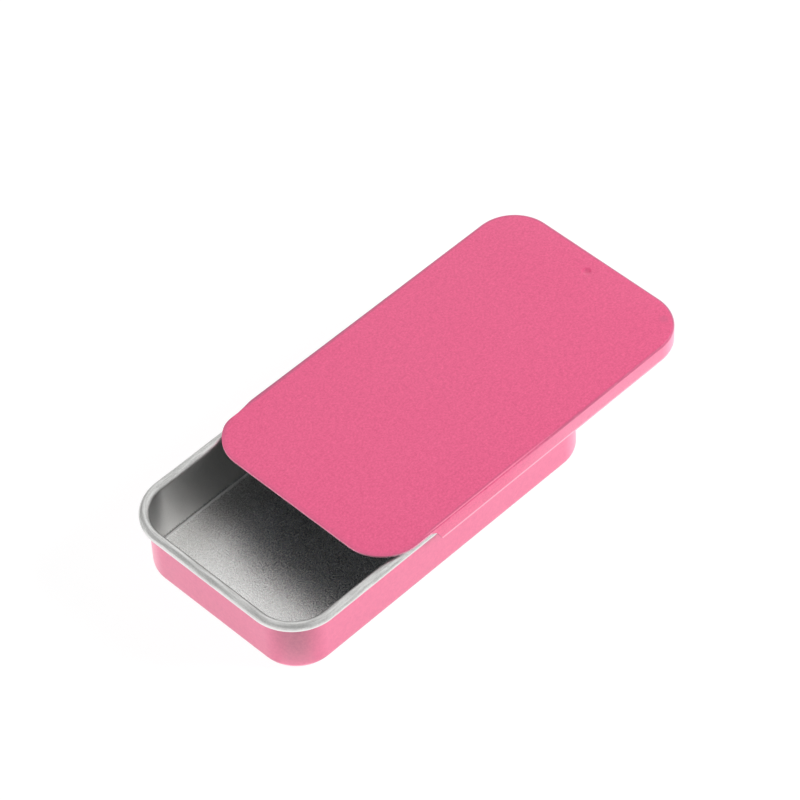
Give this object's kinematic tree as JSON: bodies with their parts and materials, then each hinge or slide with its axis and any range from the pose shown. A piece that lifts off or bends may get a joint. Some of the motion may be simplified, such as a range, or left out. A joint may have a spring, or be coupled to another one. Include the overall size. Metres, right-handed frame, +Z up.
{
  "type": "sliding lid tin",
  "caption": "Small flat rectangular metal tin with rounded corners, and a lid with rolled side rails that slides open lengthwise along the tray's rolled rim.",
  "frame": {"origin": "middle of the flat area of the tray's underside, on the surface that the tin stands on", "axes": "+X along the tin, the way the lid slides open; +Y across the tin; +Z up"},
  "size_m": [0.076, 0.034, 0.011],
  "materials": {
    "base_tray": "satin pink coating on the outer face, bare tinplate on the inside, the rolled rim and the cut edge",
    "sliding_lid": "matte pink coating with a fine powder speckle on the outer face, bare tinplate underneath"
  },
  "bodies": {
    "tray": {"base_tray": "base_tray"},
    "lid": {"sliding_lid": "sliding_lid"}
  },
  "joints": [
    {"name": "lid_slide", "type": "slide", "parent": "tray", "child": "lid", "axis": [1, 0, 0], "range_m": [-0.0166, 0.0214]}
  ]
}
